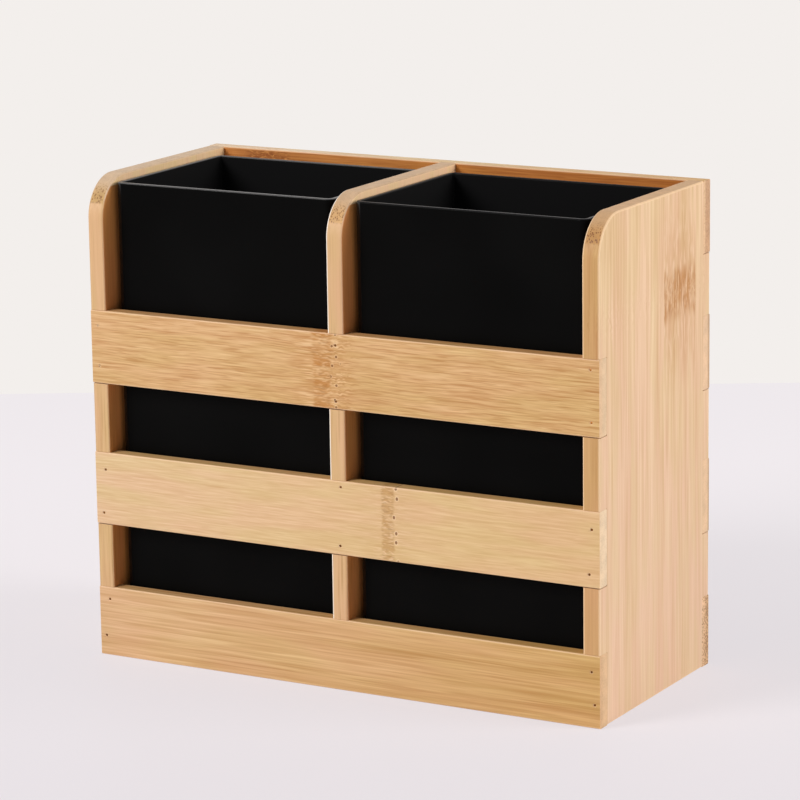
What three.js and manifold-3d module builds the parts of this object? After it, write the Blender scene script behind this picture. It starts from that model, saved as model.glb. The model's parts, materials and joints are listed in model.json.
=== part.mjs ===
// Desk organizer: a bamboo frame with two lift-out plastic bins.
// Three uprights carry slats let in flush across their front and back edges. A base board sits in
// grooves in the two side panels, the divider stands on it, and a bin stands in each bay.
// Millimetres, +Z up. The front faces -Y. The origin is the middle of the footprint, on the desk.
import * as THREE from 'three';
import { mergeVertices } from 'three/addons/utils/BufferGeometryUtils.js';
import Module from 'manifold-3d';

const wasm = await Module();
wasm.setup();

// ---------- driving dimensions ----------
const WIDTH = 220; // over the outer faces of the side panels
const DEPTH = 95; // over the faces of the front and back slats
const HEIGHT = 191; // desk to the top of the panels

const BOARD_THICKNESS = 7; // side panels and divider
const CORNER_RADIUS = 16.5; // the rounded front top corner of an upright
const EASE = 0.8; // sanded rounding of the boards' long edges

const SLAT_WIDTH = 29;
const END_SLAT_WIDTH = 28; // the lowest slats and the topmost one
const SLAT_THICKNESS = 6;
const LOWEST_OPENING = 25.5; // above the lowest slat
const OPENING = 27.5; // between the slats further up
const LEAST_OPENING = 2; // below the topmost slat

const BASE_THICKNESS = 6;
const BASE_LIFT = 4; // underside of the base board above the desk
const GROOVE_DEPTH = 3; // how far the base board enters each side panel

const JOINT_GAP = 0.15; // glue gap on each side of a let-in slat or board
const SEAT_GAP = 0.3; // clearance at an edge that carries nothing

const BIN_SIDE_GAP = 1.25; // bin wall to the upright beside it
const BIN_FRONT_GAP = 1; // bin wall to the front slats
const BIN_BACK_GAP = 6; // bin wall to the back slats
const BIN_BELOW_TOP = 2.5; // rim of the bin below the top of the panels
const BIN_WALL = 2;
const BIN_FLOOR = 2.5;
const BIN_CORNER_RADIUS = 3; // upright outer corners
const BIN_INNER_CORNER_RADIUS = 1;
const BIN_RIM_ROUNDING = 0.6;

const BRAD_HEAD_RADIUS = 0.6;
const BRAD_HEAD_THICKNESS = 0.4;
const BRAD_SHANK_RADIUS = 0.45;
const BRAD_LENGTH = 16;
const BRAD_POINT = 1.6; // length of the tapered point
const BRAD_CLEARANCE = 0.15; // hole radius over the brad's
const BRAD_INSET = 5; // usual distance from a brad to the slat's edge

// Brads of the front slats, from the lowest slat up. Each crossing has its lower and its upper brad
// as [sideways drift, distance from the nearer edge of the slat], set as a hand-nailed frame has them.
const FRONT_BRADS = [
  { left: [[-0.9, 8], [1.2, 5]], right: [[1.3, 9], [0, 6.5]] },
  { left: [[-0.3, 4.5], [1.1, 7]], centre: [[0.5, 3.5], [1.1, 2.5]], right: [[-0.8, 5], [0.2, 7]] },
  { left: [[0, 7], [-0.3, 6]], centre: [[-0.3, 3], [-0.2, 4.5]], right: [[0.2, 5.5], [-0.1, 4]] },
];

// ---------- facets ----------
const CORNER_STEPS = 14;
const EASE_STEPS = 2;
const BIN_CORNER_STEPS = 6;
const ROUND_SIDES = 10;
const OVERCUT = 1; // how far a cutter passes a face that it opens

// ---------- places worked out from the dimensions ----------
const FRONT_Y = -DEPTH / 2;
const BACK_Y = DEPTH / 2;
const FRONT_SEAT_Y = FRONT_Y + SLAT_THICKNESS; // floor of the front notches
const BACK_SEAT_Y = BACK_Y - SLAT_THICKNESS;
const SIDE_CENTRE_X = WIDTH / 2 - BOARD_THICKNESS / 2;
const BAY_CENTRE_X = SIDE_CENTRE_X / 2;
const BAY_WIDTH = SIDE_CENTRE_X - BOARD_THICKNESS;
const BASE_TOP = BASE_LIFT + BASE_THICKNESS;
const UPRIGHT_X = { left: -SIDE_CENTRE_X, centre: 0, right: SIDE_CENTRE_X };

// ---------- finishes ----------
const bamboo = new THREE.MeshStandardMaterial({ color: 0xdcb488, roughness: 0.55, metalness: 0 });
const blackPlastic = new THREE.MeshStandardMaterial({ color: 0x101011, roughness: 0.35, metalness: 0 });
const steel = new THREE.MeshStandardMaterial({ color: 0x6f6a62, roughness: 0.4, metalness: 1 });

// ---------- solids ----------
/** Turns a closed three.js geometry into a solid that can be cut. */
function solidOf(geometry) {
  const bare = geometry.clone();
  bare.deleteAttribute('normal');
  bare.deleteAttribute('uv');
  const merged = mergeVertices(bare, 1e-5);
  return new wasm.Manifold(new wasm.Mesh({
    numProp: 3,
    vertProperties: new Float32Array(merged.attributes.position.array),
    triVerts: new Uint32Array(merged.index.array),
  }));
}

/** Turns a solid back into a three.js geometry with flat-shaded faces. */
function geometryOf(solid) {
  const mesh = solid.getMesh();
  const geometry = new THREE.BufferGeometry();
  geometry.setAttribute('position', new THREE.BufferAttribute(new Float32Array(mesh.vertProperties), 3));
  geometry.setIndex(new THREE.BufferAttribute(new Uint32Array(mesh.triVerts), 1));
  const faceted = geometry.toNonIndexed();
  faceted.computeVertexNormals();
  return faceted;
}

/** Cuts a list of geometries out of a geometry. */
function cut(geometry, cutters) {
  const result = cutters.reduce((rest, cutter) => rest.subtract(solidOf(cutter)), solidOf(geometry));
  return geometryOf(result);
}

/** A box between two corners. */
function boxBetween(low, high) {
  const size = high.map((value, axis) => value - low[axis]);
  const middle = high.map((value, axis) => (value + low[axis]) / 2);
  return new THREE.BoxGeometry(...size).translate(...middle);
}

// Stands a profile drawn as (y, z) upright and extrudes it along +X.
const STAND_UP = new THREE.Matrix4().makeBasis(
  new THREE.Vector3(0, 1, 0),
  new THREE.Vector3(0, 0, 1),
  new THREE.Vector3(1, 0, 0),
);

/** A rounded rectangle from (x0, y0) to (x1, y1). */
function roundedRectangle(x0, y0, x1, y1, radius) {
  const shape = new THREE.Shape();
  shape.absarc(x1 - radius, y0 + radius, radius, -Math.PI / 2, 0, false);
  shape.absarc(x1 - radius, y1 - radius, radius, 0, Math.PI / 2, false);
  shape.absarc(x0 + radius, y1 - radius, radius, Math.PI / 2, Math.PI, false);
  shape.absarc(x0 + radius, y0 + radius, radius, Math.PI, 1.5 * Math.PI, false);
  return shape;
}

// ---------- where the slats lie ----------
/** The slats that front and back share, each as { low, high } edges, from the desk up. */
function sharedSlats() {
  const slats = [{ low: 0, high: END_SLAT_WIDTH }];
  const highest = HEIGHT - END_SLAT_WIDTH - LEAST_OPENING;
  let low = END_SLAT_WIDTH + LOWEST_OPENING;
  while (low + SLAT_WIDTH <= highest) {
    slats.push({ low, high: low + SLAT_WIDTH });
    low += SLAT_WIDTH + OPENING;
  }
  return slats;
}

const FRONT_SLATS = sharedSlats();
const BACK_SLATS = [...FRONT_SLATS, { low: HEIGHT - END_SLAT_WIDTH, high: HEIGHT }];

// ---------- brads ----------
/**
 * Every brad as { name, face, slat, x, z }. The divider stands on the base board behind the lowest
 * slats, so those are nailed to the side panels only.
 */
function bradPlaces() {
  const places = [];
  const add = (face, slat, number, upright, [low, high]) => {
    const x = UPRIGHT_X[upright];
    const prefix = `brad_${face}_${number + 1}_${upright}`;
    places.push({ name: `${prefix}_low`, face, slat, x: x + low[0], z: slat.low + low[1] });
    places.push({ name: `${prefix}_high`, face, slat, x: x + high[0], z: slat.high - high[1] });
  };
  const even = [[0, BRAD_INSET], [0, BRAD_INSET]];
  const evenCrossings = { left: even, centre: even, right: even };
  FRONT_SLATS.forEach((slat, number) => {
    const crossings = FRONT_BRADS[number] ?? evenCrossings;
    Object.entries(crossings).forEach(([upright, pair]) => add('front', slat, number, upright, pair));
  });
  BACK_SLATS.forEach((slat, number) => {
    const uprights = number === 0 ? ['left', 'right'] : ['left', 'centre', 'right'];
    uprights.forEach((upright) => add('back', slat, number, upright, even));
  });
  return places;
}

const BRADS = bradPlaces();

/** A brad or the hole it sits in, with its head at y = 0 and its point towards +Y. */
function bradGeometry(clearance) {
  const head = BRAD_HEAD_RADIUS + clearance;
  const shank = BRAD_SHANK_RADIUS + clearance;
  const shoulder = BRAD_HEAD_THICKNESS + clearance;
  const mouth = clearance > 0 ? -OVERCUT : 0;
  const profile = [
    [0, mouth],
    [head, mouth],
    [head, shoulder],
    [shank, shoulder],
    [shank, BRAD_LENGTH - BRAD_POINT],
    [0, BRAD_LENGTH + clearance],
  ];
  const points = profile.map(([radius, y]) => new THREE.Vector2(radius, y));
  return new THREE.LatheGeometry(points, ROUND_SIDES);
}

/** Moves a brad or a brad hole from y = 0 to its place in the front or the back of the frame. */
function placeBrad(geometry, { face, x, z }) {
  if (face === 'back') geometry.rotateZ(Math.PI);
  return geometry.translate(x, face === 'front' ? FRONT_Y : BACK_Y, z);
}

/** The holes of the brads that a test picks out. */
function bradHoles(test) {
  return BRADS.filter(test).map((brad) => placeBrad(bradGeometry(BRAD_CLEARANCE), brad));
}

// ---------- uprights ----------
/** Side outline of an upright, as (y, z), with its front top corner rounded. */
function uprightOutline(bottom) {
  const centre = [FRONT_Y + CORNER_RADIUS, HEIGHT - CORNER_RADIUS];
  const shape = new THREE.Shape();
  shape.moveTo(FRONT_Y, bottom);
  shape.lineTo(BACK_Y, bottom);
  shape.lineTo(BACK_Y, HEIGHT);
  shape.lineTo(FRONT_Y + CORNER_RADIUS, HEIGHT);
  shape.absarc(...centre, CORNER_RADIUS, Math.PI / 2, Math.PI, false);
  shape.closePath();
  return shape;
}

/** The notches that the slats lie in, cut right across a board centred at x. */
function slatNotches(x) {
  const low = x - BOARD_THICKNESS / 2 - OVERCUT;
  const high = x + BOARD_THICKNESS / 2 + OVERCUT;
  const notch = (slat, y0, y1) => {
    const bottom = slat.low === 0 ? -OVERCUT : slat.low - JOINT_GAP;
    const top = slat.high === HEIGHT ? HEIGHT + OVERCUT : slat.high + JOINT_GAP;
    return boxBetween([low, y0, bottom], [high, y1, top]);
  };
  return [
    ...FRONT_SLATS.map((slat) => notch(slat, FRONT_Y - OVERCUT, FRONT_SEAT_Y)),
    ...BACK_SLATS.map((slat) => notch(slat, BACK_SEAT_Y, BACK_Y + OVERCUT)),
  ];
}

/** A vertical board centred at x, with eased edges, slat notches and brad holes. */
function uprightGeometry(x, bottom, extraCuts) {
  const board = new THREE.ExtrudeGeometry(uprightOutline(bottom), {
    depth: BOARD_THICKNESS - 2 * EASE,
    bevelEnabled: true,
    bevelThickness: EASE,
    bevelSize: EASE,
    bevelOffset: -EASE,
    bevelSegments: EASE_STEPS,
    curveSegments: CORNER_STEPS,
  });
  board.applyMatrix4(STAND_UP);
  board.translate(x - BOARD_THICKNESS / 2 + EASE, 0, 0);
  const holes = bradHoles((brad) => Math.abs(brad.x - x) < BOARD_THICKNESS / 2);
  return cut(board, [...slatNotches(x), ...holes, ...extraCuts]);
}

/** The groove in a side panel's inner face that holds one end of the base board. */
function baseGroove(side) {
  const inner = side * (SIDE_CENTRE_X - BOARD_THICKNESS / 2);
  const xs = [inner - side * OVERCUT, inner + side * GROOVE_DEPTH];
  return boxBetween(
    [Math.min(...xs), FRONT_Y - OVERCUT, BASE_LIFT],
    [Math.max(...xs), BACK_Y + OVERCUT, BASE_TOP + JOINT_GAP],
  );
}

// ---------- slats and base board ----------
/** A slat with eased long edges, its brad holes and ends flush with the side panels. */
function slatGeometry(face, slat) {
  const y0 = face === 'front' ? FRONT_Y : BACK_SEAT_Y;
  const section = roundedRectangle(y0, slat.low, y0 + SLAT_THICKNESS, slat.high, EASE);
  const board = new THREE.ExtrudeGeometry(section, {
    depth: WIDTH,
    bevelEnabled: false,
    curveSegments: EASE_STEPS,
  });
  board.applyMatrix4(STAND_UP);
  board.translate(-WIDTH / 2, 0, 0);
  return cut(board, bradHoles((brad) => brad.face === face && brad.slat === slat));
}

/** The base board, its ends in the side panels' grooves. */
function baseGeometry() {
  const halfWidth = SIDE_CENTRE_X - BOARD_THICKNESS / 2 + GROOVE_DEPTH - SEAT_GAP;
  return boxBetween(
    [-halfWidth, FRONT_SEAT_Y + SEAT_GAP, BASE_LIFT],
    [halfWidth, BACK_SEAT_Y - SEAT_GAP, BASE_TOP],
  );
}

// ---------- bins ----------
/** An open-topped bin with rounded upright corners, its underside at z = 0. */
function binGeometry() {
  const halfWidth = BAY_WIDTH / 2 - BIN_SIDE_GAP;
  const front = FRONT_SEAT_Y + BIN_FRONT_GAP;
  const back = BACK_SEAT_Y - BIN_BACK_GAP;
  const height = HEIGHT - BIN_BELOW_TOP - BASE_TOP;
  const outline = (inset, radius) => (
    roundedRectangle(-halfWidth + inset, front + inset, halfWidth - inset, back - inset, radius)
  );
  const outer = new THREE.ExtrudeGeometry(outline(0, BIN_CORNER_RADIUS), {
    depth: height - 2 * BIN_RIM_ROUNDING,
    bevelEnabled: true,
    bevelThickness: BIN_RIM_ROUNDING,
    bevelSize: BIN_RIM_ROUNDING,
    bevelOffset: -BIN_RIM_ROUNDING,
    bevelSegments: EASE_STEPS,
    curveSegments: BIN_CORNER_STEPS,
  });
  outer.translate(0, 0, BIN_RIM_ROUNDING);
  const hollow = new THREE.ExtrudeGeometry(outline(BIN_WALL, BIN_INNER_CORNER_RADIUS), {
    depth: height - BIN_FLOOR + OVERCUT,
    bevelEnabled: false,
    curveSegments: BIN_CORNER_STEPS,
  });
  hollow.translate(0, 0, BIN_FLOOR);
  return cut(outer, [hollow]);
}

// ---------- assembly ----------
/** Adds a piece to a group as a named mesh. */
function addPiece(group, name, geometry, material) {
  const mesh = new THREE.Mesh(geometry, material);
  mesh.name = name;
  group.add(mesh);
  return mesh;
}

const frame = new THREE.Group();
addPiece(frame, 'left_side_panel', uprightGeometry(UPRIGHT_X.left, 0, [baseGroove(-1)]), bamboo);
addPiece(frame, 'right_side_panel', uprightGeometry(UPRIGHT_X.right, 0, [baseGroove(1)]), bamboo);
addPiece(frame, 'center_divider', uprightGeometry(UPRIGHT_X.centre, BASE_TOP, []), bamboo);
addPiece(frame, 'base_board', baseGeometry(), bamboo);
FRONT_SLATS.forEach((slat, number) => {
  addPiece(frame, `front_slat_${number + 1}`, slatGeometry('front', slat), bamboo);
});
BACK_SLATS.forEach((slat, number) => {
  addPiece(frame, `back_slat_${number + 1}`, slatGeometry('back', slat), bamboo);
});
BRADS.forEach((brad) => {
  addPiece(frame, brad.name, placeBrad(bradGeometry(0), brad), steel);
});

const bins = new THREE.Group();
bins.position.z = BASE_TOP;
addPiece(bins, 'left_bin', binGeometry(), blackPlastic).position.x = -BAY_CENTRE_X;
addPiece(bins, 'right_bin', binGeometry(), blackPlastic).position.x = BAY_CENTRE_X;

const organizer = new THREE.Group();
organizer.add(frame, bins);

export default organizer;
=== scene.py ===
"""Looks of a bamboo desk organizer that holds two lift-out plastic bins.

Three uprights carry slats let in flush at the front and the back, steel brads hold the slats, and a
black bin stands in each bay. Lengths are in metres with +Z up and the front facing -Y, as in the
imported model, and every finished piece keeps its place in its mesh. Only the finishes are written in
millimetres, because their patterns are.
"""

import json
import logging
import math
from dataclasses import dataclass, field
from enum import Enum
from functools import partial
from typing import Any, Callable, Iterable, Sequence

import bmesh
import bpy
from bmesh.types import BMEdge, BMesh, BMFace, BMVert
from bpy.types import Material, Node, NodeSocket, NodeTree, Object
from mathutils import Matrix, Vector


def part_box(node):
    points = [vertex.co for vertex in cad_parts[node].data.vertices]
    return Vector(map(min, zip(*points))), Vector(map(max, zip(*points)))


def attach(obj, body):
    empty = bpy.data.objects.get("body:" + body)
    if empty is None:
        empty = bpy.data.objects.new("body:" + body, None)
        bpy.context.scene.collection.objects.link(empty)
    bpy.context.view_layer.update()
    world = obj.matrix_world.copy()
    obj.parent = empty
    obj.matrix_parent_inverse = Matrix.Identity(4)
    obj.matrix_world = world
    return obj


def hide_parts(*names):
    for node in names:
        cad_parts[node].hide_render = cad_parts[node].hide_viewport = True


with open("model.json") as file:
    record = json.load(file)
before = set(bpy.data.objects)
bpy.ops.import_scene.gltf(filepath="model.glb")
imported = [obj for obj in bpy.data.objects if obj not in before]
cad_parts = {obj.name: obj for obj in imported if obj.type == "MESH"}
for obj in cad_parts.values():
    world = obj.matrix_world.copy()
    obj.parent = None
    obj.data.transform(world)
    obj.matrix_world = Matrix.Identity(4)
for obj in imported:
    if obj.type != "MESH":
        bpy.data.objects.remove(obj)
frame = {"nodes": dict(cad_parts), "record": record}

LOG = logging.getLogger("desk_organizer")
MM = 0.001
SAME_PLACE = 1e-6  # places along an axis that are nearer than this are one
MERGED = 1e-7  # corners that are nearer than this are merged
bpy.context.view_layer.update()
BODY_OF = {
    node: body
    for body, nodes in frame["record"]["behaviour"]["bodies"].items()
    for node in nodes
}

# A pair is mostly a start and a stop, or what the low and the high side take.
Pair = tuple[float, float]
Point = tuple[float, float, float]

# Node settings that are used again and again.
SMOOTH = {"interpolation_type": "SMOOTHSTEP"}
COLOUR = {"data_type": "RGBA"}
TINT = {"data_type": "RGBA", "blend_type": "MULTIPLY"}


class Grain(Enum):
    """How the fibres lie: the axes along them, across the face and through the board.

    Last comes the stretch along the fibres over which the painted light changes and the streaks calm, in
    millimetres.
    """

    SLAT = ("XZY", (-100.0, 100.0))
    UPRIGHT = ("ZYX", (0.0, 190.0))
    FLOOR_BOARD = ("XYZ", (-100.0, 100.0))


class Slot(Enum):
    """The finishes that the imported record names."""

    WOOD = "bamboo"
    PLASTIC = "bin_plastic"
    STEEL = "steel_brads"


# -------- colour and nodes


def linear_colour(code: str) -> tuple[float, float, float, float]:
    """Turns an sRGB hex colour into linear light.

    Args:
        code: The colour as "#RRGGBB".

    Returns:
        Red, green, blue and an alpha of 1.
    """
    values = [int(code[place : place + 2], 16) / 255 for place in (1, 3, 5)]
    bright = [v / 12.92 if v <= 0.04045 else ((v + 0.055) / 1.055) ** 2.4 for v in values]
    return (bright[0], bright[1], bright[2], 1.0)


def add_node(
    tree: NodeTree,
    kind: str,
    inputs: Sequence[Any] | dict[str, Any] = (),
    operation: str = "",
    **settings: Any,
) -> Node:
    """Adds a node with its settings and links.

    Args:
        tree: The node tree to add to.
        kind: The node's type name after "ShaderNode".
        inputs: What its open inputs take, in their order or by name: a value, a hex colour, an
            output socket, or a node, which gives its first open output.
        operation: What it works out, or nothing if it has no such choice.
        settings: Other property values. "stops" fills a colour ramp with (place, hex colour) pairs.

    Returns:
        The new node.
    """
    node = tree.nodes.new("ShaderNode" + kind)
    if operation:
        node.operation = operation
    for name, value in settings.items():
        if name == "stops":
            ramp = node.color_ramp.elements
            for _ in value[len(ramp) :]:
                ramp.new(0.5)
            for stop, (place, code) in zip(ramp, value):
                stop.position, stop.color = place, linear_colour(code)
        else:
            setattr(node, name, value)
    sockets = [socket for socket in node.inputs if socket.enabled]
    if isinstance(inputs, dict):
        sockets = [next(s for s in sockets if s.name == name) for name in inputs]
        inputs = list(inputs.values())
    for socket, value in zip(sockets, inputs):
        if isinstance(value, Node):
            value = next(s for s in value.outputs if s.enabled)
        if isinstance(value, NodeSocket):
            tree.links.new(value, socket)
        else:
            socket.default_value = linear_colour(value) if isinstance(value, str) else value
    return node


def new_material(name: str) -> tuple[Material, Callable[..., Node], Node, Node]:
    """Starts a node material.

    Args:
        name: The material's name.

    Returns:
        The material, a function that adds a node to it, its texture coordinates, and the place on
        the piece in millimetres.
    """
    material = bpy.data.materials.new(name)
    material.use_nodes = True
    material.node_tree.nodes.clear()
    add = partial(add_node, material.node_tree)
    coords = add("TexCoord")
    return material, add, coords, add("VectorMath", (coords.outputs["Object"], 1 / MM), "SCALE")


# -------- bamboo


@dataclass(frozen=True)
class Knuckle:
    """A joint of the bamboo cane that crosses a strip.

    Lengths are in millimetres and strengths go from 0 to 1.
    """

    start: float  # where its band starts along the fibres
    stop: float  # where the band stops
    depth: float = 0.45  # how much of the knuckle's colour the band takes
    blocks: float = 0.3  # how much more of it whole bundles take
    strokes: float = 0.6  # how strongly the short dark and pale strokes in it show
    stroke_length: float = 3.2  # the usual length of those strokes
    fan: float = 0.3  # how strongly the longer strokes beside it show
    wash: float = 0.1  # how much of the knuckle's colour spreads beside the band
    reach: float = 18.0  # how far beside the band it spreads
    soft: float = 1.2  # half the width of its soft edge
    ragged: float = 1.5  # how far single fibres carry it past its edge
    across: Pair | None = None  # the lowest and highest place of its strip across the face
    swirl: float = 0.6  # how far the fibres bend beside it
    swirl_side: float = 0.0  # which side the fibres bend most, as a shift along them
    pores: tuple[float, ...] = ()  # places along the fibres of the rows of root pores
    pore_gap: float = 4.2  # how far apart the pores of a row stand

    @property
    def centre(self) -> float:
        """The middle of the band along the fibres."""
        return (self.start + self.stop) / 2


@dataclass(frozen=True)
class Bamboo:
    """Flat-pressed bamboo, planed, sanded and sealed with a thin matt varnish.

    The eye sees pale fibres with long tan streaks between them, a darker band where a joint of the
    cane crosses, and dots where the fibres end.

    Lengths are in millimetres, shares go from 0 to 1, and a usual strength is 1.
    """

    name: str  # the board's name
    grain: Grain  # how the fibres lie in the board
    tone: str = "#DDB588"  # the usual colour of the face
    dark: str = "#C2935F"  # the colour of the dark streaks
    light: str = "#F0CFA8"  # the colour of the light streaks
    drift: tuple[str, str] = ("#FFFFFF", "#FFFFFF")  # painted light: tints at the low and at the high end of the board, where light falls unevenly along it
    patches: float = 0.5  # how far broad patches lean to yellow or to pink
    edge: str = "#DDB285"  # the colour of the narrow long edges
    arris: str = "#F5D2AC"  # a painted highlight along the sanded arrises, painted shade where it is darker than the face
    arris_shares: Pair = (0.5, 0.5)  # how much of it the low and the high face take
    end: str = "#D9B48B"  # the colour of the cut ends
    low_end: str = ""  # the colour of the low cut end, if it differs
    slant: str = "#CFA56F"  # the colour of an end where it is rounded over
    end_dot: str = "#8A5C30"  # the colour of the cut fibre bundles in the ends
    speckle: float = 0.3  # how strongly the cut bundles show on a flat end
    slant_speckle: float = 0.9  # how strongly they show where an end is rounded over
    skin: str = "#B48A62"  # the colour of the cut ends near the skin of the cane, also painted shade along their outer arrises
    # How far from the middle of the frame that colour starts to show and shows in full.
    skin_depth: Pair = (900.0, 901.0)
    inside: str = "#B97E4A"  # painted shade on the faces towards the bins, where they lie deep in the recess
    inside_turn: int = 0  # which face that is, as the sign of its normal, or 0 for both
    inside_stop: float = 900.0  # how far along the board the painted shade reaches
    knuckle_tone: str = "#B97B42"  # the colour of the joints of the cane
    pore: str = "#7A4508"  # the colour of the root pores beside the joints
    streak_length: float = 30.0  # the usual length of a streak
    streak_width: float = 0.7  # the usual width of a streak, which is one or a few fibre bundles
    contrast: float = 1.0  # how strongly the streaks show
    calm: Pair = (0.0, 0.0)  # how much of that is lost at the low and at the high end
    broad: float = 0.3  # how strongly the face varies from one broad band to the next
    dashes: float = 1.0  # how strongly the short pale and dark dashes show
    wander: float = 0.5  # how far the fibres stray from straight
    strip_width: float = 400.0  # the width of the strips that the board is pressed from
    strip_start: float = -100.0  # the place of one strip's edge
    strip_shift: float = 0.05  # how much the strips differ in lightness
    knuckles: tuple[Knuckle, ...] = ()  # the joints of the cane that show
    seed: float = 0.0  # moves the pattern, so that no two boards match

    def material(self) -> Material:
        """Builds the node material."""
        return BambooFigure(self).finished()


class Layer(Enum):
    """The noises that draw the wood.

    Attributes:
        shift: Sets the noise apart from the others.
        detail: How many finer noises it holds.
        limits: The levels at which its marks start to show and show in full.
    """

    BROAD = (3.0, 1.0)
    STREAK = (5.0, 1.0)
    RELIEF = (5.0, 2.0)
    HAIR = (8.0, 1.0)
    BEND = (11.0, 1.0)
    SWIRL = (23.0, 1.0)
    FINE = (31.0, 1.0)
    PALE_DASH = (41.0, 0.0, 0.6, 0.78)
    DARK_DASH = (53.0, 0.0, 0.6, 0.78)
    TIPS = (61.0, 1.0)
    WASH = (65.0, 1.0, 0.2, 0.65)
    DARK_STROKE = (67.0, 1.0, 0.5, 0.7)
    PALE_STROKE = (71.0, 1.0, 0.5, 0.7)
    BUNDLE = (73.0, 0.0, 0.5, 0.6)
    PATCH = (77.0, 1.0, 0.38, 0.62)
    DARK_FAN = (81.0, 1.0, 0.5, 0.66)
    PALE_FAN = (83.0, 1.0, 0.5, 0.66)

    def __init__(self, shift: float, detail: float, start: float = 0.0, full: float = 1.0) -> None:
        """Names the numbers of the layer."""
        self.shift, self.detail, self.limits = shift, detail, (start, full)


class BambooFigure:
    """Draws the figure of one board in nodes.

    Attributes:
        wood: The finish to draw.
        material: The board's material.
        tone: Its colour so far.
        add: Adds a node to it.
        span: The stretch along the board over which its painted light changes.
        along: The place along the board, in millimetres, as the next two are.
        across: The place across its face.
        through: The place through its thickness.
        end_turn: How far a face turns to the high end of the board.
        side_turn: How far it turns to the high face of the board.
        end_on: How squarely a cut end faces out, from 0 to 1, as the next two do.
        edge_on: How squarely a narrow edge faces out.
        face_on: How squarely a broad face faces out.
        chance: A random number for each strip.
        fibre: The place along, across and through the fibres, in millimetres.
    """

    # The length and the width of a grain of noise, in millimetres.
    BEND_GRAIN = (45.0, 9.0)
    SWIRL_GRAIN = (2.8, 1.9)
    PATCH_GRAIN = (45.0, 8.0)
    FINE_GRAIN = (9.0, 0.42)
    # How hair streaks weigh against the main ones, and how far the noise spreads from its middle.
    HAIR_SHARE = 0.8
    LEVEL_SPREAD = 0.42
    # Where a broad patch leans to: yellow or pink.
    PATCH_TINTS = ("#F6FFEA", "#FFFBFF")
    # How far from a knuckle the fibres bend, the depth of a row of pores and the reach of the pores
    # from its middle, in millimetres.
    SWIRL_REACH = 11.0
    PORE_ROW = 4.5
    PORE_REACH = 2.2
    # The length of whole bundles, the length of the marks beside a knuckle and the width of its strokes.
    BUNDLE_LENGTH = 60.0
    FAN_LENGTH = 9.0
    STROKE_WIDTH = 0.6
    # The levels at which the rim of a pore and the pore itself start to show and show in full.
    PORE_RIM = (0.76, 0.86)
    PORE = (0.86, 0.91)
    # How squarely a face has to look a certain way before its tint starts to show and shows in full: a
    # broad or narrow face, a cut end, an end that isn't rounded over, its dots, and the painted light on
    # the arrises.
    FACE_TURN = (0.6, 0.9)
    END_TURN = (0.35, 0.42)
    FLAT_TURN = (0.5, 0.92)
    DOT_TURN = (0.6, 0.85)
    ARRIS_TURN = (0.05, 0.4)
    # Cut bundles along one millimetre of an end, the levels at which they show, how much closer they
    # crowd near the skin, and the darkest and the lightest share of an end's colour.
    BUNDLES_PER_MM = 1.4
    BUNDLE_LEVELS = (0.52, 0.74)
    SKIN_CROWDING = 0.12
    END_SHADES = (0.78, 1.2)
    # The varnish: its roughness from the smoothest place to the dullest, and its relief.
    ROUGHNESS = (0.44, 0.62)
    RELIEF = 0.05 * MM

    def __init__(self, wood: Bamboo) -> None:
        """Starts the material and finds the places that the figure is drawn on.

        Args:
            wood: The finish to draw.
        """
        self.wood = wood
        self.tone = None
        self.material, add, coords, in_mm = new_material("bamboo_" + wood.name)
        self.add = add
        axes, self.span = wood.grain.value
        place = add("SeparateXYZ", (in_mm,)).outputs
        self.along, self.across, self.through = (place[axis] for axis in axes)
        normal = add("SeparateXYZ", (coords.outputs["Normal"],)).outputs
        turns = [normal[axis] for axis in axes]
        self.end_turn, _, self.side_turn = turns
        self.end_on, self.edge_on, self.face_on = (add("Math", (turn,), "ABSOLUTE") for turn in turns)
        # Each strip that the board is pressed from gets its own random number.
        strip = add("Math", (self.across, wood.strip_start), "SUBTRACT")
        strip = add("Math", (strip, wood.strip_width), "DIVIDE")
        strip = add("Math", (strip,), "FLOOR")
        strip = add("Math", (strip, wood.seed * 7.31), "ADD")
        self.chance = add("TexWhiteNoise", (strip,), noise_dimensions="1D")
        self.fibre = self._fibre_place()

    def finished(self) -> Material:
        """Draws the figure, the gloss and the relief.

        Returns:
            The finished material.
        """
        wood, add = self.wood, self.add
        self._streaks()
        self._drifts()
        for joint in wood.knuckles:
            self._knuckle(joint)
        self._faces()
        self._ends()
        self._arrises()
        fine = self._noise(Layer.FINE, *self.FINE_GRAIN)
        relief = self._noise(Layer.RELIEF, wood.streak_length, wood.streak_width)
        height = add("Math", (relief, 0.6, fine), "MULTIPLY_ADD")
        varnish = {
            "Base Color": self.tone,
            "Roughness": add("MapRange", (fine, 0.0, 1.0, *self.ROUGHNESS)),
            "Normal": add("Bump", {"Strength": 0.3, "Distance": self.RELIEF, "Height": height}),
            "IOR": 1.5,
            "Specular IOR Level": 0.35,
        }
        add("OutputMaterial", (add("BsdfPrincipled", varnish),))
        return self.material

    def _noise(self, layer: Layer, length: float, width: float, place: Node | None = None) -> Node:
        """Adds noise drawn out along the fibres.

        Args:
            layer: Which noise it is.
            length: The length of one grain of the noise, in millimetres.
            width: The width of one grain of the noise, in millimetres.
            place: Where it is read, or None for the place in the fibres.

        Returns:
            The noise, from 0 to 1.
        """
        size = (1 / length, 1 / width, 1 / width)
        # The odd factors here and below only set one pattern apart from the next.
        move = (layer.shift, layer.shift * 1.7, self.wood.seed * 3.1)
        spot = self.add("VectorMath", (place or self.fibre, size, move), "MULTIPLY_ADD")
        grain = {"Vector": spot, "Scale": 1.0, "Detail": layer.detail, "Roughness": 0.55}
        return self.add("TexNoise", grain)

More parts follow.
